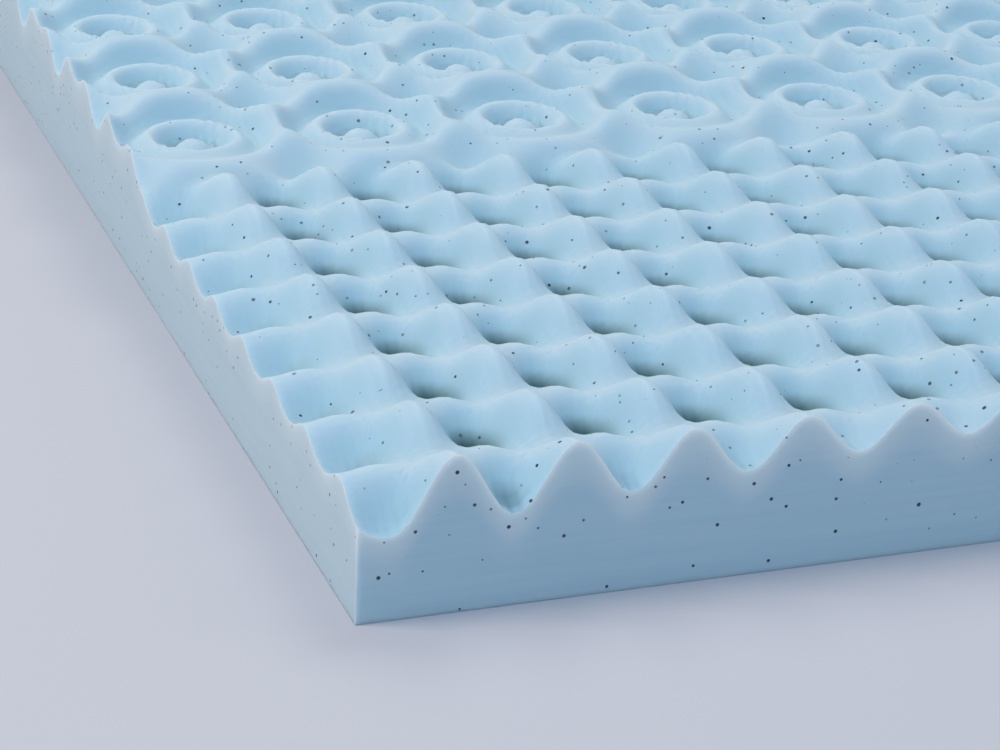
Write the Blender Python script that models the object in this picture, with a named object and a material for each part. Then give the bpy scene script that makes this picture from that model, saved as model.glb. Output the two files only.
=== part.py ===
"""Mattress topper: one slab of soft foam with a relief pressed and sliced into its top face.

Both ends carry egg-crate waves: long ridges that run down the bed, with a pit in every trough.
The middle carries ring-shaped bumps, each with a low button inside and a hollow moat around it.
Origin: middle of the underside. X runs across the bed, Y along it, Z up. Sizes are in metres.
"""
import bmesh
import bpy
import numpy as np
from mathutils import Vector
from mathutils.geometry import delaunay_2d_cdt

MM = 0.001

# --- the slab -----------------------------------------------------------------------------------
WIDTH = 990 * MM            # across the bed
LENGTH = 1905 * MM          # along the bed

# --- egg-crate zones (one at each end) ------------------------------------------------------------
PITCH = 54 * MM             # from one pit to the next, both ways
FIRST_TROUGH = 14.1 * MM    # first trough line, from the side edge
FIRST_PIT_ROW = 1.8 * MM    # first row of pits, from the end; the cut goes almost through its middle
ZONE_DEPTH = 405 * MM       # how far the waves reach in from an end
ZONE_BLEND = 16 * MM        # run-out between the waves and the rings
MEAN_HEIGHT = 60.0 * MM     # the waves swing above and below this
RIDGE_WAVE = 8.4 * MM       # ridges up, troughs down, across the bed
RIDGE_LEAN = 1.9 * MM       # how much fuller one flank of a ridge is than the other
RIDGE_ROUND = 0.5 * MM      # sharpens the ridges a little and broadens the troughs
CREST_WAVE = -1.4 * MM      # crests run across the bed between the rows of pits
CREST_LEAN = 1.1 * MM       # and are fuller on the side that faces the end
PIT_WAVE = 7.8 * MM         # deepens the troughs at each pit and lifts the ridge beside it
PIT_LEAN = 0.5 * MM         # makes the bumps fuller on one flank
PIT_ROUND = -0.7 * MM       # blunts the bumps and steepens the pits across the bed
PIT_DRIFT = -1.1 * MM       # sets each pit a little askew
PIT_SLANT = -1.5 * MM       # and turns it a little
PIT_TWIST = -0.7 * MM       # leans the bumps and the pits the same way along the bed
BUMP_ROUND = -0.7 * MM      # blunts the bumps and the pit floors along the bed
EDGE_SLACK = 0.62           # the outermost trough is this much slacker than the rest
EDGE_DRAW = 3.5 * MM        # and is drawn out towards the edge
EDGE_FALL = 6 * MM          # the crests run down to the side edge by this much
END_LIFT = 23.7 * MM        # how much shallower the cut-open pits are in the middle of an end
CORNER_DIP = 4.3 * MM       # and how much deeper at the corners
END_REACH = 15 * MM

# --- ring zone (middle of the bed) ----------------------------------------------------------------
COLUMNS = 10
ROWS = 9
FIRST_COLUMN = 42 * MM      # ring centres, from the side edge
FIRST_ROW = 466.5 * MM      # ring centres, from the end
BUTTON_TOP = 65.5 * MM      # the low mound inside each ring
BUTTON_FLAT = 4.5 * MM      # radius of its flat top
GROOVE_FLOOR = 57.8 * MM    # the round groove between button and rim
RIM_TOP = 69.8 * MM
MOAT_FLOOR = 62.0 * MM      # the hollow round each rim
WEB_TOP = 73.7 * MM         # the foam left standing between the rings
GROOVE_RADIUS = 14.5 * MM
RIM_RADIUS = 25.4 * MM
MOAT_RADIUS = 36.6 * MM
WEB_RADIUS = 52.5 * MM
RING_STRETCH = 1.12         # rings are this much longer along the bed than across it
ARCH_RISE = 5.6 * MM        # the web arches up between one row and the next
ARCH_WIDE = 38 * MM
ARCH_LONG = 26 * MM
KNUCKLE_RISE = 4.2 * MM     # two knuckles stand on the web between neighbouring rings
KNUCKLE_OFFSET = 27.5 * MM
KNUCKLE_WIDE = 18 * MM
KNUCKLE_LONG = 12.5 * MM
PIT_DEPTH = 18.7 * MM       # pit in the web where four rings meet
PIT_WIDE = 19 * MM
PIT_LONG = 20.5 * MM
PIT_AT_BORDER = 0.8         # share of that depth left beside the waves
BORDER_DROP = 3.5 * MM      # the web lies lower beside the waves, with no arches
BORDER_REACH = 30 * MM
MOAT_FILL = 9 * MM          # beside the waves the moat is nearly filled in
BOW = 10 * MM               # how far the ring columns stray sideways in the middle of the bed

# --- how finely the solid follows the relief -------------------------------------------------------
GROOVE_POINTS = 6
RIM_POINTS = 9
MOAT_POINTS = 10
EDGE_CLEAR = 6 * MM         # points closer than this to an edge are left to the edge's own points
TINY = 0.01 * MM            # two places nearer than this are one

COLUMN_PITCH = (WIDTH - 2 * FIRST_COLUMN) / (COLUMNS - 1)
ROW_PITCH = (LENGTH - 2 * FIRST_ROW) / (ROWS - 1)


def eased(start, end, share):
    """Smooth S-shaped run from start to end."""
    share = np.clip(share, 0, 1)
    return start + (end - start) * (1 - np.cos(np.pi * share)) / 2


def wrapped(value):
    """Distance to the nearest whole number, with its sign."""
    return value - np.round(value)


def from_nearest_end(y):
    return np.minimum(y, LENGTH - y)


def egg_crate(x, y):
    """Height of the waves, x and y measured from the slab's corner."""
    depth = from_nearest_end(y)
    by_edge = eased(1, 0, x / (2 * FIRST_TROUGH))
    slack = 1 - (1 - EDGE_SLACK) * by_edge
    a = 2 * np.pi * ((x - FIRST_TROUGH + EDGE_DRAW * by_edge) / PITCH * slack + 0.5)
    b = 2 * np.pi * (depth - FIRST_PIT_ROW) / PITCH
    ridge = RIDGE_WAVE * np.cos(a) + RIDGE_LEAN * np.sin(a) + RIDGE_ROUND * np.cos(2 * a)
    crest = CREST_WAVE * np.cos(b) + CREST_LEAN * np.sin(b)
    pit = PIT_WAVE * np.cos(a) + PIT_LEAN * np.sin(a) + PIT_ROUND * np.cos(2 * a)
    askew = PIT_DRIFT * np.cos(a) + PIT_SLANT * np.sin(a) + PIT_TWIST * np.cos(2 * a)
    bump = BUMP_ROUND * np.cos(a) * np.cos(2 * b)
    height = MEAN_HEIGHT + ridge + crest + pit * np.cos(b) + askew * np.sin(b) + bump
    height = height - EDGE_FALL * by_edge * (1 - np.cos(b)) / 2
    lift = END_LIFT * np.sin(np.pi * np.clip(x / WIDTH, 0, 1)) - CORNER_DIP
    return height + lift * np.exp(-(depth / END_REACH) ** 2) * (1 - np.cos(a)) / 2


def stray(y):
    """Sideways bow of the ring columns."""
    return BOW * np.sin(np.pi * np.clip((y - ZONE_DEPTH) / (LENGTH - 2 * ZONE_DEPTH), 0, 1))


def rings(x, y):
    """Height of the ring zone: button, groove, rim and moat, with a web and deep pits between."""
    across = (x - stray(y) - FIRST_COLUMN) / COLUMN_PITCH
    along = np.clip((y - FIRST_ROW) / ROW_PITCH, -0.5, ROWS - 0.5)
    dx = wrapped(across) * COLUMN_PITCH
    dy = (along - np.clip(np.round(along), 0, ROWS - 1)) * ROW_PITCH
    gap_x = COLUMN_PITCH / 2 - np.abs(dx)
    gap_y = ROW_PITCH / 2 - np.abs(dy)
    border = np.exp(-((from_nearest_end(y) - ZONE_DEPTH) / BORDER_REACH) ** 2)
    arch = ARCH_RISE * (1 - border) * np.exp(-(dx / ARCH_WIDE) ** 2 - (gap_y / ARCH_LONG) ** 2)
    web = WEB_TOP - BORDER_DROP * border + arch
    beside = (gap_x / KNUCKLE_WIDE) ** 2 + ((np.abs(dy) - KNUCKLE_OFFSET) / KNUCKLE_LONG) ** 2
    web = web + KNUCKLE_RISE * np.exp(-beside)
    pit = PIT_DEPTH * (1 - (1 - PIT_AT_BORDER) * border)
    web = web - pit * np.exp(-(gap_x / PIT_WIDE) ** 2 - (gap_y / PIT_LONG) ** 2)
    r = np.hypot(dx, dy / RING_STRETCH)
    moat = MOAT_FLOOR + MOAT_FILL * border
    height = eased(BUTTON_TOP, GROOVE_FLOOR, (r - BUTTON_FLAT) / (GROOVE_RADIUS - BUTTON_FLAT))
    to_rim = eased(GROOVE_FLOOR, RIM_TOP, (r - GROOVE_RADIUS) / (RIM_RADIUS - GROOVE_RADIUS))
    to_moat = eased(RIM_TOP, moat, (r - RIM_RADIUS) / (MOAT_RADIUS - RIM_RADIUS))
    to_web = eased(moat, web, (r - MOAT_RADIUS) / (WEB_RADIUS - MOAT_RADIUS))
    height = np.where(r > GROOVE_RADIUS, to_rim, height)
    height = np.where(r > RIM_RADIUS, to_moat, height)
    return np.where(r > MOAT_RADIUS, to_web, height)


def relief(x, y):
    """Height of the top face: waves at the ends, rings between them."""
    share = (from_nearest_end(y) - ZONE_DEPTH + ZONE_BLEND / 2) / ZONE_BLEND
    return eased(egg_crate(x, y), rings(x, y), share)


def wave_points():
    """Ridges and troughs at every pit and crest, with the flanks' points set between them."""
    half = PITCH / 2
    upright = np.arange(FIRST_TROUGH + half, WIDTH - EDGE_CLEAR, half)
    flanks = np.arange(FIRST_TROUGH + half / 2, WIDTH - EDGE_CLEAR, half)
    upright = np.concatenate([[0.0, FIRST_TROUGH], upright, [WIDTH]])
    level = np.arange(FIRST_PIT_ROW + half, ZONE_DEPTH + half / 2, half)
    level = np.concatenate([[0.0], level])
    between = np.concatenate([[0.0], level[:-1] + half / 2, [ZONE_DEPTH]])
    points = [(x, y) for x in upright for y in level]
    points += [(x, y) for x in flanks for y in between]
    return [(float(x), float(y)) for x, y in points] + [(float(x), float(LENGTH - y)) for x, y in points]


def ring_points():
    """Button, groove, rim and moat of every ring, with the web between them."""
    spots = [(0.0, 0.0)]
    circles = ((GROOVE_RADIUS, GROOVE_POINTS), (RIM_RADIUS, RIM_POINTS), (MOAT_RADIUS, MOAT_POINTS))
    for radius, count in circles:
        for step in range(count):
            turn = 2 * np.pi * (step + 0.5) / count
            spots.append((radius * np.cos(turn), radius * RING_STRETCH * np.sin(turn)))
    half_x = COLUMN_PITCH / 2
    half_y = ROW_PITCH / 2
    spots += [(half_x, 0.0), (half_x, KNUCKLE_OFFSET), (half_x, -KNUCKLE_OFFSET)]
    spots += [(share * half_x, half_y) for share in (-0.5, 0.0, 0.5, 1.0)]
    slant = WEB_RADIUS * np.sqrt(0.5)
    spots += [(i * slant, j * slant * RING_STRETCH) for i in (-1, 1) for j in (-1, 1)]
    points = []
    for row in range(ROWS):
        for column in range(COLUMNS):
            x0 = FIRST_COLUMN + column * COLUMN_PITCH
            y0 = FIRST_ROW + row * ROW_PITCH
            points += [(float(x0 + x + stray(y0 + y)), float(y0 + y)) for x, y in spots]
    edge = np.arange(FIRST_ROW, LENGTH - FIRST_ROW + ROW_PITCH / 8, ROW_PITCH / 4)
    points += [(x, float(y)) for x in (0.0, WIDTH) for y in edge]
    inside = []
    for x, y in points:
        on_edge = x in (0.0, WIDTH)
        clear = EDGE_CLEAR < x < WIDTH - EDGE_CLEAR
        if (on_edge or clear) and from_nearest_end(y) > ZONE_DEPTH + EDGE_CLEAR:
            inside.append((x, y))
    return inside


def build_slab():
    spots = wave_points() + ring_points()
    flat = [Vector(spot) for spot in spots]
    corners, _, triangles = delaunay_2d_cdt(flat, [], [], 0, TINY)[:3]
    xs = np.array([corner[0] for corner in corners])
    ys = np.array([corner[1] for corner in corners])
    zs = relief(xs, ys)

    mesh = bmesh.new()
    top = [mesh.verts.new((x - WIDTH / 2, y - LENGTH / 2, z)) for x, y, z in zip(xs, ys, zs)]
    for triangle in triangles:
        mesh.faces.new([top[index] for index in triangle])

    floor = {}
    for x in (0.0, WIDTH):
        for y in (0.0, LENGTH):
            floor[x, y] = mesh.verts.new((x - WIDTH / 2, y - LENGTH / 2, 0.0))
    for y in (0.0, LENGTH):
        rim = [i for i in np.argsort(xs) if abs(ys[i] - y) < TINY]
        mesh.faces.new([floor[0.0, y]] + [top[i] for i in rim] + [floor[WIDTH, y]])
    for x in (0.0, WIDTH):
        rim = [i for i in np.argsort(ys) if abs(xs[i] - x) < TINY]
        mesh.faces.new([floor[x, 0.0]] + [top[i] for i in rim] + [floor[x, LENGTH]])
    mesh.faces.new([floor[0.0, 0.0], floor[0.0, LENGTH], floor[WIDTH, LENGTH], floor[WIDTH, 0.0]])
    bmesh.ops.recalc_face_normals(mesh, faces=mesh.faces[:])

    data = bpy.data.meshes.new("foam_slab")
    mesh.to_mesh(data)
    mesh.free()
    slab = bpy.data.objects.new("foam_slab", data)
    bpy.context.scene.collection.objects.link(slab)
    return slab


def soft_foam():
    """Pale blue memory foam: matt, with no metal in it."""
    material = bpy.data.materials.new("soft_foam")
    material.use_nodes = True
    shader = material.node_tree.nodes["Principled BSDF"]
    shader.inputs["Base Color"].default_value = (0.50, 0.72, 0.80, 1.0)
    shader.inputs["Roughness"].default_value = 0.9
    shader.inputs["Metallic"].default_value = 0.0
    return material


for leftover in list(bpy.data.objects):
    bpy.data.objects.remove(leftover)
build_slab().data.materials.append(soft_foam())
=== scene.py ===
"""Mattress topper of soft foam: the look of the slab, its floor, light and camera.

The relief is worked out in x across the bed and y along it, measured from the slab's corner.
"""
import math

import bpy
import numpy as np
from mathutils import Euler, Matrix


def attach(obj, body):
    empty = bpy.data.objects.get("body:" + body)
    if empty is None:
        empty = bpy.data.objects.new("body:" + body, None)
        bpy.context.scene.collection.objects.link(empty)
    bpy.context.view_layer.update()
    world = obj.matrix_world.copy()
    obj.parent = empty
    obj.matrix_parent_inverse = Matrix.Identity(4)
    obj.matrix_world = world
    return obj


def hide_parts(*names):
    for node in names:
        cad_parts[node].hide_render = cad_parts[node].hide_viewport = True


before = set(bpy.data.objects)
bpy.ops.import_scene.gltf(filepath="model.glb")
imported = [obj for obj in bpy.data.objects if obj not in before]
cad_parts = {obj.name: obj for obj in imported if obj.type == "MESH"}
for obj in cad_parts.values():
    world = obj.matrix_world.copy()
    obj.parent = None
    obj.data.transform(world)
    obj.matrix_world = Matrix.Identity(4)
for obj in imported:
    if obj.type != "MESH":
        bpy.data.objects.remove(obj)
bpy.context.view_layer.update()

MM = 0.001

# --- the slab, as it is cut ---------------------------------------------------------------------
WIDTH = 990 * MM            # across the bed
LENGTH = 1905 * MM          # along the bed

# egg-crate waves at both ends
PITCH = 54 * MM             # from one pit to the next, both ways
FIRST_TROUGH = 14.1 * MM    # first trough line, from the side edge
FIRST_PIT_ROW = 1.8 * MM    # first row of pits, from the end; the cut goes almost through its middle
ZONE_DEPTH = 405 * MM       # how far the waves reach in from an end
ZONE_BLEND = 16 * MM        # run-out between the waves and the rings
MEAN_HEIGHT = 60.0 * MM     # the waves swing above and below this
RIDGE_WAVE = 8.4 * MM       # ridges up, troughs down, across the bed
RIDGE_LEAN = 1.9 * MM       # how much fuller one flank of a ridge is than the other
RIDGE_ROUND = 0.5 * MM      # sharpens the ridges a little and broadens the troughs
CREST_WAVE = -1.4 * MM      # crests run across the bed between the rows of pits
CREST_LEAN = 1.1 * MM       # and are fuller on the side that faces the end
PIT_WAVE = 7.8 * MM         # deepens the troughs at each pit and lifts the ridge beside it
PIT_LEAN = 0.5 * MM         # makes the bumps fuller on one flank
PIT_ROUND = -0.7 * MM       # blunts the bumps and steepens the pits across the bed
PIT_DRIFT = -1.1 * MM       # sets each pit a little askew
PIT_SLANT = -1.5 * MM       # and turns it a little
PIT_TWIST = -0.7 * MM       # leans the bumps and the pits the same way along the bed
BUMP_ROUND = -0.7 * MM      # blunts the bumps and the pit floors along the bed
EDGE_SLACK = 0.62           # the outermost trough is this much slacker than the rest
EDGE_DRAW = 3.5 * MM        # and is drawn out towards the edge
EDGE_FALL = 6 * MM          # the crests run down to the side edge by this much
END_LIFT = 23.7 * MM        # how much shallower the cut-open pits are in the middle of an end
CORNER_DIP = 4.3 * MM       # and how much deeper at the corners
END_REACH = 15 * MM

# rings in the middle
COLUMNS = 10
ROWS = 9
FIRST_COLUMN = 42 * MM      # ring centres, from the side edge
FIRST_ROW = 466.5 * MM      # ring centres, from the end
BUTTON_TOP = 65.5 * MM      # the low mound inside each ring
BUTTON_FLAT = 4.5 * MM      # radius of its flat top
GROOVE_FLOOR = 57.8 * MM    # the round groove between button and rim
RIM_TOP = 69.8 * MM
MOAT_FLOOR = 62.0 * MM      # the hollow round each rim
WEB_TOP = 73.7 * MM         # the foam left standing between the rings
GROOVE_RADIUS = 14.5 * MM
RIM_RADIUS = 25.4 * MM
MOAT_RADIUS = 36.6 * MM
WEB_RADIUS = 52.5 * MM
RING_STRETCH = 1.12         # rings are this much longer along the bed than across it
ARCH_RISE = 5.6 * MM        # the web arches up between one row and the next
ARCH_WIDE = 38 * MM
ARCH_LONG = 26 * MM
KNUCKLE_RISE = 4.2 * MM     # two knuckles stand on the web between neighbouring rings
KNUCKLE_OFFSET = 27.5 * MM
KNUCKLE_WIDE = 18 * MM
KNUCKLE_LONG = 12.5 * MM
PIT_DEPTH = 18.7 * MM       # pit in the web where four rings meet
PIT_WIDE = 19 * MM
PIT_LONG = 20.5 * MM
PIT_AT_BORDER = 0.8         # share of that depth left beside the waves
BORDER_DROP = 3.5 * MM      # the web lies lower beside the waves, with no arches
BORDER_REACH = 30 * MM
MOAT_FILL = 9 * MM          # beside the waves the moat is nearly filled in
BOW = 10 * MM               # how far the ring columns stray sideways in the middle of the bed

COLUMN_PITCH = (WIDTH - 2 * FIRST_COLUMN) / (COLUMNS - 1)
ROW_PITCH = (LENGTH - 2 * FIRST_ROW) / (ROWS - 1)

# how finely the visible foam is drawn
CELL = PITCH / 12
WALL_STEPS = 3
TINY = 0.01 * MM            # two places nearer than this are one

# the foam and what is in it
CLOUD_SIZE = 80 * MM        # broad, faint patches of deeper and paler blue
CLOUD_SPREAD = (0.35, 0.65)  # where the noise turns from one blue to the other
FLECK_SIZE = 3 * MM         # small mottling in the cut foam
FLECK_SPREAD = (0.3, 0.7)
PALE_BAND = 20 * MM         # painted glow: a pale band painted just below a cut edge, for light showing through the thin foam
PALE_AT_END = 0.75          # strongest on the end walls, which stand in the shade
PALE_AT_SIDE = 0.3
SPECK_SPACING = 8.2 * MM    # dark crumbs of gel, mixed all through the foam
SPECK_RADIUS = (0.30 * MM, 0.85 * MM)
SPECK_BLUR = 1.5            # a speck has faded out at this many times its radius
SPECK_STRENGTH = (0.5, 1.0)  # crumbs just under the skin show less
PORE_SIZE = 1.4 * MM        # drawn about twice as coarse as real pores, which would not show
PORE_DEPTH = 0.2 * MM
PORE_STRENGTH = 0.3
KNIFE_LINE = 2.2 * MM       # height of the faint level lines the knife leaves on a sawn wall
KNIFE_RUN = 90 * MM         # and how far one runs before it fades
SKIN_DEPTH = 10 * MM        # how far light wanders under the skin before it comes out again

# lines of sight over the foam around a point, which tell how deep in a hollow it lies and so how much
# painted shade it gets
SIGHT_LINES = 16
SIGHT_REACHES = (5 * MM, 10 * MM, 15 * MM, 20 * MM, 25 * MM, 30 * MM)

# the foam's colours
TOP_BLUE = "#a5c8df"
TOP_PALE_BLUE = "#afccdf"
FLECK_BLUE = "#abccdd"
SAWN_BLUE = "#a3becd"
SAWN_PALE_BLUE = "#adc6d3"
PAINTED_EDGE_GLOW = "#d3dcdf"
GEL_NAVY = "#10163a"
# painted shade: shallow hollows shifted to cyan, deep pits darkened to green, by the share of hidden sky
PAINTED_PIT_SHADE = (
    # least and most hidden sky, colour
    (0.0, 0.3, "#a0c9dd"),
    (0.26, 0.45, "#316264"),
)

# the studio, in metres from the middle of the slab's underside
PAPER_GREY = "#c1c8d4"
PAPER_REACH = 12.0
SOFT_LIGHTS = (
    # name, where it stands, what it faces, width and height, watts, colour
    ("key_softbox", (-2.8, -0.5, 2.55), (0, -0.6, 0), (1.3, 1.3), 75, "#ffe8d6"),
    ("overhead", (0.9, 1.1, 3.0), (0, -0.5, 0), (1.8, 1.8), 37, "#fff4ea"),
    ("front_fill", (-1.6, -4.2, 1.5), (0, -0.6, 0), (3.0, 2.0), 41, "#cae8ff"),
    ("right_fill", (2.7, -0.9, 1.9), (0, -0.6, 0), (2.0, 2.0), 14, "#fff4ea"),
)
SKY_BLUE = "#d3e2f5"
SKY_STRENGTH = 0.47
CAMERA_PLACE = (-0.7780, -1.8361, 0.5022)
CAMERA_TURN = (67.388, -2.641, -20.085)     # degrees about X, Y and Z
CAMERA_LENS = 90.0          # millimetres, as is the sensor's width
CAMERA_SENSOR = 36.0


def linear(hex_colour):
    """sRGB hex to the linear colour a shader wants."""
    channels = [int(hex_colour[i:i + 2], 16) / 255 for i in (1, 3, 5)]
    return tuple(c / 12.92 if c <= 0.04045 else ((c + 0.055) / 1.055) ** 2.4 for c in channels) + (1.0,)


def eased(start, end, share):
    """Smooth S-shaped run from start to end."""
    share = np.clip(share, 0, 1)
    return start + (end - start) * (1 - np.cos(np.pi * share)) / 2


def wrapped(value):
    """Distance to the nearest whole number, with its sign."""
    return value - np.round(value)


def from_nearest_end(y):
    return np.minimum(y, LENGTH - y)


def egg_crate(x, y):
    """Height of the waves at both ends."""
    depth = from_nearest_end(y)
    by_edge = eased(1, 0, x / (2 * FIRST_TROUGH))
    slack = 1 - (1 - EDGE_SLACK) * by_edge
    a = 2 * np.pi * ((x - FIRST_TROUGH + EDGE_DRAW * by_edge) / PITCH * slack + 0.5)
    b = 2 * np.pi * (depth - FIRST_PIT_ROW) / PITCH
    ridge = RIDGE_WAVE * np.cos(a) + RIDGE_LEAN * np.sin(a) + RIDGE_ROUND * np.cos(2 * a)
    crest = CREST_WAVE * np.cos(b) + CREST_LEAN * np.sin(b)
    pit = PIT_WAVE * np.cos(a) + PIT_LEAN * np.sin(a) + PIT_ROUND * np.cos(2 * a)
    askew = PIT_DRIFT * np.cos(a) + PIT_SLANT * np.sin(a) + PIT_TWIST * np.cos(2 * a)
    bump = BUMP_ROUND * np.cos(a) * np.cos(2 * b)
    height = MEAN_HEIGHT + ridge + crest + pit * np.cos(b) + askew * np.sin(b) + bump
    height = height - EDGE_FALL * by_edge * (1 - np.cos(b)) / 2
    lift = END_LIFT * np.sin(np.pi * np.clip(x / WIDTH, 0, 1)) - CORNER_DIP
    return height + lift * np.exp(-(depth / END_REACH) ** 2) * (1 - np.cos(a)) / 2


def stray(y):
    """Sideways bow of the ring columns."""
    return BOW * np.sin(np.pi * np.clip((y - ZONE_DEPTH) / (LENGTH - 2 * ZONE_DEPTH), 0, 1))


def rings(x, y):
    """Height of the ring zone: button, groove, rim and moat, with a web and deep pits between."""
    across = (x - stray(y) - FIRST_COLUMN) / COLUMN_PITCH
    along = np.clip((y - FIRST_ROW) / ROW_PITCH, -0.5, ROWS - 0.5)
    dx = wrapped(across) * COLUMN_PITCH
    dy = (along - np.clip(np.round(along), 0, ROWS - 1)) * ROW_PITCH
    gap_x = COLUMN_PITCH / 2 - np.abs(dx)
    gap_y = ROW_PITCH / 2 - np.abs(dy)
    border = np.exp(-((from_nearest_end(y) - ZONE_DEPTH) / BORDER_REACH) ** 2)
    arch = ARCH_RISE * (1 - border) * np.exp(-(dx / ARCH_WIDE) ** 2 - (gap_y / ARCH_LONG) ** 2)
    web = WEB_TOP - BORDER_DROP * border + arch
    beside = (gap_x / KNUCKLE_WIDE) ** 2 + ((np.abs(dy) - KNUCKLE_OFFSET) / KNUCKLE_LONG) ** 2
    web = web + KNUCKLE_RISE * np.exp(-beside)
    pit = PIT_DEPTH * (1 - (1 - PIT_AT_BORDER) * border)
    web = web - pit * np.exp(-(gap_x / PIT_WIDE) ** 2 - (gap_y / PIT_LONG) ** 2)
    r = np.hypot(dx, dy / RING_STRETCH)
    moat = MOAT_FLOOR + MOAT_FILL * border
    height = eased(BUTTON_TOP, GROOVE_FLOOR, (r - BUTTON_FLAT) / (GROOVE_RADIUS - BUTTON_FLAT))
    to_rim = eased(GROOVE_FLOOR, RIM_TOP, (r - GROOVE_RADIUS) / (RIM_RADIUS - GROOVE_RADIUS))
    to_moat = eased(RIM_TOP, moat, (r - RIM_RADIUS) / (MOAT_RADIUS - RIM_RADIUS))
    to_web = eased(moat, web, (r - MOAT_RADIUS) / (WEB_RADIUS - MOAT_RADIUS))
    height = np.where(r > GROOVE_RADIUS, to_rim, height)
    height = np.where(r > RIM_RADIUS, to_moat, height)
    return np.where(r > MOAT_RADIUS, to_web, height)


def relief(x, y):
    """Height of the top face: waves at the ends, rings between them."""
    share = (from_nearest_end(y) - ZONE_DEPTH + ZONE_BLEND / 2) / ZONE_BLEND
    return eased(egg_crate(x, y), rings(x, y), share)


def hidden_sky(x, y):
    """Share of the open sky that the foam around a point hides: none on a ridge, half in a deep pit."""
    here = relief(x, y)
    hidden = np.zeros_like(x)
    for turn in np.arange(SIGHT_LINES) * 2 * np.pi / SIGHT_LINES:
        steepest = np.zeros_like(x)
        for reach in SIGHT_REACHES:
            away_x = x + reach * np.cos(turn)
            away_y = y + reach * np.sin(turn)
            over_foam = (away_x > 0) & (away_x < WIDTH) & (away_y > 0) & (away_y < LENGTH)
            rise = np.where(over_foam, relief(away_x, away_y) - here, 0) / reach
            steepest = np.maximum(steepest, rise)
        hidden += steepest ** 2 / (1 + steepest ** 2)
    return hidden / SIGHT_LINES


def foam_mesh():
    """The whole slab as one closed skin, fine enough to show the relief smoothly."""
    xs = np.concatenate([[0], np.arange(FIRST_TROUGH % CELL, WIDTH, CELL), [WIDTH]])
    end_rows = np.arange(round(ZONE_DEPTH / CELL)) * CELL
    middle_count = round((LENGTH - 2 * ZONE_DEPTH) / CELL) + 1
    middle_rows = np.linspace(ZONE_DEPTH, LENGTH - ZONE_DEPTH, middle_count)
    ys = np.concatenate([end_rows, middle_rows, LENGTH - end_rows[::-1]])
    across, along = np.meshgrid(xs, ys)
    top = relief(across, along)
    points = [np.stack([across.ravel(), along.ravel(), top.ravel()], 1)]
    count = top.size
    ids = np.arange(count).reshape(top.shape)
    faces = [np.stack([ids[:-1, :-1], ids[:-1, 1:], ids[1:, 1:], ids[1:, :-1]], -1).reshape(-1, 4)]

    # the rim of the top face, walked anticlockwise, and the cut walls hung from it
    rim = np.concatenate([ids[0, :-1], ids[:-1, -1], ids[-1, :0:-1], ids[:0:-1, 0]])
    upper = rim
    rim_points = points[0][rim]
    for step in range(1, WALL_STEPS + 1):
        lower_points = rim_points.copy()
        lower_points[:, 2] *= 1 - step / WALL_STEPS
        lower = np.arange(len(rim)) + count
        points.append(lower_points)
        count += len(rim)
        faces.append(np.stack([np.roll(upper, -1), upper, lower, np.roll(lower, -1)], 1))
        upper = lower
    wall_faces = sum(len(part) for part in faces[1:])
    return np.concatenate(points), np.concatenate(faces), wall_faces, rim, upper


def sharpen(mesh, rim, foot):
    """Keeps the sawn edges crisp: round the top, down the four corners and round the foot."""
    places = np.zeros(len(mesh.vertices) * 3)
    mesh.vertices.foreach_get("co", places)
    places = np.abs(places.reshape(-1, 3))
    corner = (places[:, 0] > WIDTH / 2 - TINY) & (places[:, 1] > LENGTH / 2 - TINY)
    ends = np.zeros(len(mesh.edges) * 2, dtype=int)
    mesh.edges.foreach_get("vertices", ends)
    ends = ends.reshape(-1, 2)
    next_on_loop = {}
    for loop in (rim, foot):
        for one, other in zip(loop, np.roll(loop, -1)):
            next_on_loop[one] = other
    one, other = ends[:, 0], ends[:, 1]
    follows = [next_on_loop.get(i) == j or next_on_loop.get(j) == i for i, j in zip(one, other)]
    sharp = np.array(follows) | (corner[one] & corner[other])
    mesh.attributes.new("sharp_edge", "BOOLEAN", "EDGE").data.foreach_set("value", sharp)


def painted_glow_share(x, y, z):
    """How strong the painted glow is just below a cut edge: strongest at the edge, gone at the band's full
    width.
    """
    to_side = np.minimum(x, WIDTH - x)
    to_end = from_nearest_end(y)
    to_edge = np.hypot(np.minimum(to_side, to_end), relief(x, y) - z)
    near = np.clip(1 - to_edge / PALE_BAND, 0, 1)
    strongest = np.where(to_end <= to_side, PALE_AT_END, PALE_AT_SIDE)
    return strongest * near ** 2 * (3 - 2 * near)


def mark(mesh, name, domain, values):
    """Keeps one number for each point or face, for the foam's colours to read."""
    mesh.attributes.new(name, "FLOAT", domain).data.foreach_set("value", values.astype(np.float32))


def build_foam():
    points, faces, wall_faces, rim, foot = foam_mesh()
    points = points - np.array([WIDTH / 2, LENGTH / 2, 0])
    mesh = bpy.data.meshes.new("foam_slab_soft")
    mesh.from_pydata(points.tolist(), [], faces.tolist() + [foot[::-1].tolist()])
    x = points[:, 0] + WIDTH / 2
    y = points[:, 1] + LENGTH / 2
    mark(mesh, "painted_glow", "POINT", painted_glow_share(x, y, points[:, 2]))
    mark(mesh, "hidden_sky", "POINT", hidden_sky(x, y))
    sawn = np.arange(len(faces) + 1) >= len(faces) - wall_faces     # the walls, and the underside last
    mark(mesh, "sawn_wall", "FACE", sawn)
    mesh.shade_smooth()
    sharpen(mesh, rim, foot)
    slab = bpy.data.objects.new("foam_slab_soft", mesh)
    bpy.context.scene.collection.objects.link(slab)
    return slab


def add(tree, kind, links=None, **settings):
    """Adds one node, sets its values and joins its inputs."""
    node = tree.nodes.new(kind)
    for name, value in settings.items():
        setattr(node, name, value)
    for socket, value in (links or {}).items():
        if isinstance(value, bpy.types.NodeSocket):
            tree.links.new(value, node.inputs[socket])
        else:
            node.inputs[socket].default_value = value
    return node


def new_material(name):
    material = bpy.data.materials.new(name)
    material.use_nodes = True
    tree = material.node_tree
    return material, tree, tree.nodes["Principled BSDF"]


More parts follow.
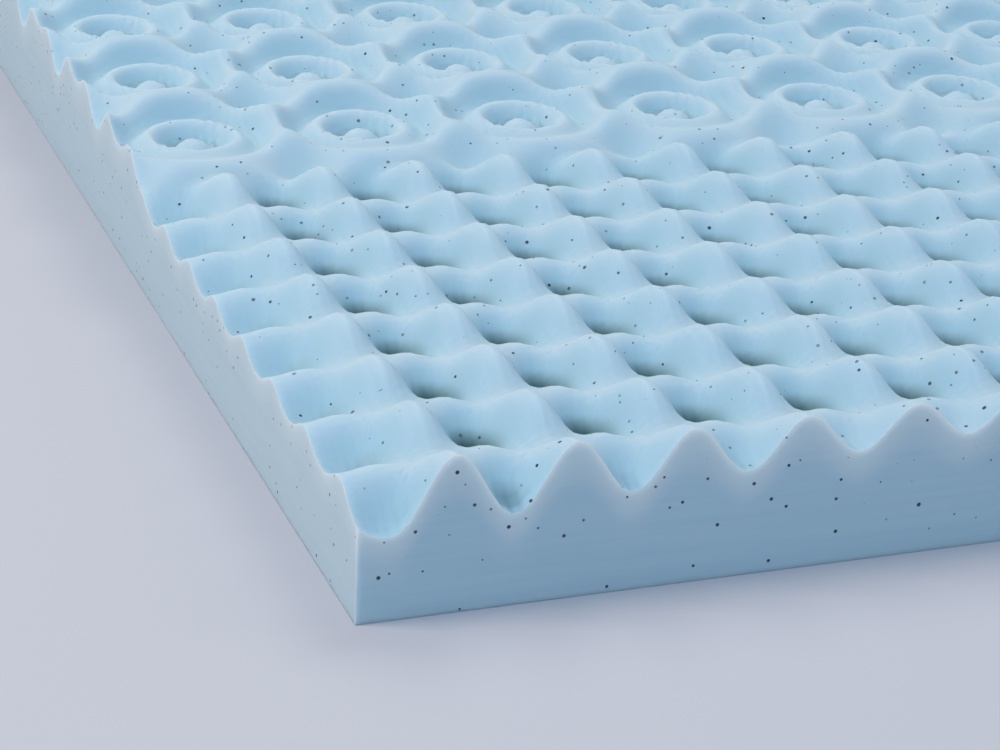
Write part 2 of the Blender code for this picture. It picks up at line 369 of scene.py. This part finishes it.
def mixed(tree, share, first, second):
    """One colour laid over another."""
    node = add(tree, "ShaderNodeMix", data_type="RGBA")
    for name, value in (("Factor_Float", share), ("A_Color", first), ("B_Color", second)):
        socket = next(s for s in node.inputs if s.identifier == name)
        if isinstance(value, bpy.types.NodeSocket):
            tree.links.new(value, socket)
        else:
            socket.default_value = value
    return next(s for s in node.outputs if s.identifier == "Result_Color")


def gel_memory_foam():
    """Gel-infused memory foam: polyurethane blown into fine open cells, then sliced with a band knife.

    It scatters light just under the skin, so it looks soft and matt. Crumbs of gel show as dark specks.
    """
    material, tree, shader = new_material("gel_memory_foam")
    place = add(tree, "ShaderNodeTexCoord").outputs["Object"]

    # the cut top: broad clouds of two blues, with small flecks over them
    clouds = {"Vector": place, "Scale": 1 / CLOUD_SIZE, "Detail": 2.0}
    clouds = add(tree, "ShaderNodeTexNoise", clouds).outputs["Fac"]
    patch = {"Value": clouds, "From Min": CLOUD_SPREAD[0], "From Max": CLOUD_SPREAD[1]}
    patch = add(tree, "ShaderNodeMapRange", patch).outputs["Result"]
    top = mixed(tree, patch, linear(TOP_BLUE), linear(TOP_PALE_BLUE))
    flecks = {"Vector": place, "Scale": 1 / FLECK_SIZE, "Detail": 2.0}
    flecks = add(tree, "ShaderNodeTexNoise", flecks).outputs["Fac"]
    grain = {"Value": flecks, "From Min": FLECK_SPREAD[0], "From Max": FLECK_SPREAD[1]}
    grain = add(tree, "ShaderNodeMapRange", grain).outputs["Result"]
    top = mixed(tree, grain, top, linear(FLECK_BLUE))

    # painted shade: the top colour turns cyan in shallow hollows and dark green deep in the pits, by how
    # much sky the foam around hides, for light that bounces about among the waves and loses its red first
    hidden = add(tree, "ShaderNodeAttribute", attribute_name="hidden_sky").outputs["Fac"]
    for least, most, colour in PAINTED_PIT_SHADE:
        depth = {"Value": hidden, "From Min": least, "From Max": most}
        depth = add(tree, "ShaderNodeMapRange", depth, interpolation_type="SMOOTHSTEP").outputs["Result"]
        top = mixed(tree, depth, top, linear(colour))

    # the sawn walls: greyer, with the faint level lines of the knife
    stretched = {"Vector": place, "Scale": (1 / KNIFE_RUN, 1 / KNIFE_RUN, 1 / KNIFE_LINE)}
    stretched = add(tree, "ShaderNodeMapping", stretched).outputs["Vector"]
    knife_lines = {"Vector": stretched, "Scale": 1.0, "Detail": 1.0}
    knife_lines = add(tree, "ShaderNodeTexNoise", knife_lines).outputs["Fac"]
    wall = mixed(tree, knife_lines, linear(SAWN_BLUE), linear(SAWN_PALE_BLUE))
    sawn = add(tree, "ShaderNodeAttribute", attribute_name="sawn_wall").outputs["Fac"]
    colour = mixed(tree, sawn, top, wall)

    # painted light: a pale, slightly warm glow painted on the walls below a cut edge, for light showing
    # through the thin foam
    pale = add(tree, "ShaderNodeAttribute", attribute_name="painted_glow").outputs["Fac"]
    band = add(tree, "ShaderNodeMath", {0: pale, 1: sawn}, operation="MULTIPLY").outputs["Value"]
    colour = mixed(tree, band, colour, linear(PAINTED_EDGE_GLOW))

    # gel crumbs: each cell of the pattern holds one, of its own size and depth of colour
    cells = add(tree, "ShaderNodeTexVoronoi", {"Vector": place, "Scale": 1 / SPECK_SPACING})
    chance = add(tree, "ShaderNodeSeparateColor", {"Color": cells.outputs["Color"]})
    least, most = (radius / SPECK_SPACING for radius in SPECK_RADIUS)
    radius = {"Value": chance.outputs["Red"], "To Min": least, "To Max": most}
    radius = add(tree, "ShaderNodeMapRange", radius).outputs["Result"]
    faded = add(tree, "ShaderNodeMath", {0: radius, 1: SPECK_BLUR}, operation="MULTIPLY").outputs["Value"]
    speck = {"Value": cells.outputs["Distance"], "From Min": radius, "From Max": faded}
    speck.update({"To Min": 1.0, "To Max": 0.0})
    speck = add(tree, "ShaderNodeMapRange", speck, interpolation_type="SMOOTHSTEP").outputs["Result"]
    strength = {"Value": chance.outputs["Green"], "To Min": SPECK_STRENGTH[0], "To Max": SPECK_STRENGTH[1]}
    strength = add(tree, "ShaderNodeMapRange", strength).outputs["Result"]
    speck = add(tree, "ShaderNodeMath", {0: speck, 1: strength}, operation="MULTIPLY").outputs["Value"]
    colour = mixed(tree, speck, colour, linear(GEL_NAVY))
    tree.links.new(colour, shader.inputs["Base Color"])

    pores = {"Vector": place, "Scale": 1 / PORE_SIZE, "Detail": 1.0}
    pores = add(tree, "ShaderNodeTexNoise", pores).outputs["Fac"]
    bump = add(tree, "ShaderNodeBump", {"Height": pores, "Strength": PORE_STRENGTH, "Distance": PORE_DEPTH})
    tree.links.new(bump.outputs["Normal"], shader.inputs["Normal"])

    # open cells have no gloss; red wanders a little further under the skin than blue
    shader.inputs["Roughness"].default_value = 0.9
    shader.inputs["Subsurface Weight"].default_value = 0.7
    shader.inputs["Subsurface Radius"].default_value = (0.9, 0.85, 0.8)
    shader.inputs["Subsurface Scale"].default_value = SKIN_DEPTH
    return material


def studio_floor():
    """A wide sheet of matt background paper."""
    material, tree, shader = new_material("studio_paper")
    shader.inputs["Base Color"].default_value = linear(PAPER_GREY)
    shader.inputs["Roughness"].default_value = 0.95
    mesh = bpy.data.meshes.new("studio_floor")
    corners = [(x * PAPER_REACH, y * PAPER_REACH, 0) for x, y in ((-1, -1), (1, -1), (1, 1), (-1, 1))]
    mesh.from_pydata(corners, [], [(0, 1, 2, 3)])
    floor = bpy.data.objects.new("studio_floor", mesh)
    floor.data.materials.append(material)
    bpy.context.scene.collection.objects.link(floor)


def soft_light(name, at, towards, size, watts, colour):
    """A soft box of this width and height, turned to face a place."""
    data = bpy.data.lights.new(name, "AREA")
    data.shape = "RECTANGLE"
    data.size, data.size_y = size
    data.energy = watts
    data.color = linear(colour)[:3]
    lamp = bpy.data.objects.new(name, data)
    lamp.location = at
    aim = np.array(towards) - np.array(at)
    heading = math.atan2(aim[1], aim[0])
    tilt = math.atan2(aim[2], math.hypot(aim[0], aim[1]))
    lamp.rotation_euler = Euler((math.pi / 2 + tilt, 0, heading - math.pi / 2))
    bpy.context.scene.collection.objects.link(lamp)


def studio():
    studio_floor()
    for lamp in SOFT_LIGHTS:
        soft_light(*lamp)
    world = bpy.data.worlds.new("studio_fill")
    world.use_nodes = True
    background = world.node_tree.nodes["Background"]
    background.inputs["Color"].default_value = linear(SKY_BLUE)
    background.inputs["Strength"].default_value = SKY_STRENGTH
    bpy.context.scene.world = world
    bpy.context.scene.view_settings.view_transform = "Standard"


def camera():
    data = bpy.data.cameras.new("camera")
    data.lens = CAMERA_LENS
    data.sensor_width = CAMERA_SENSOR
    view = bpy.data.objects.new("camera", data)
    view.location = CAMERA_PLACE
    view.rotation_euler = Euler([math.radians(angle) for angle in CAMERA_TURN])
    bpy.context.scene.collection.objects.link(view)
    bpy.context.scene.camera = view


camera()
studio()
foam = build_foam()
foam.data.materials.append(gel_memory_foam())
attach(foam, "root")
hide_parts("foam_slab")
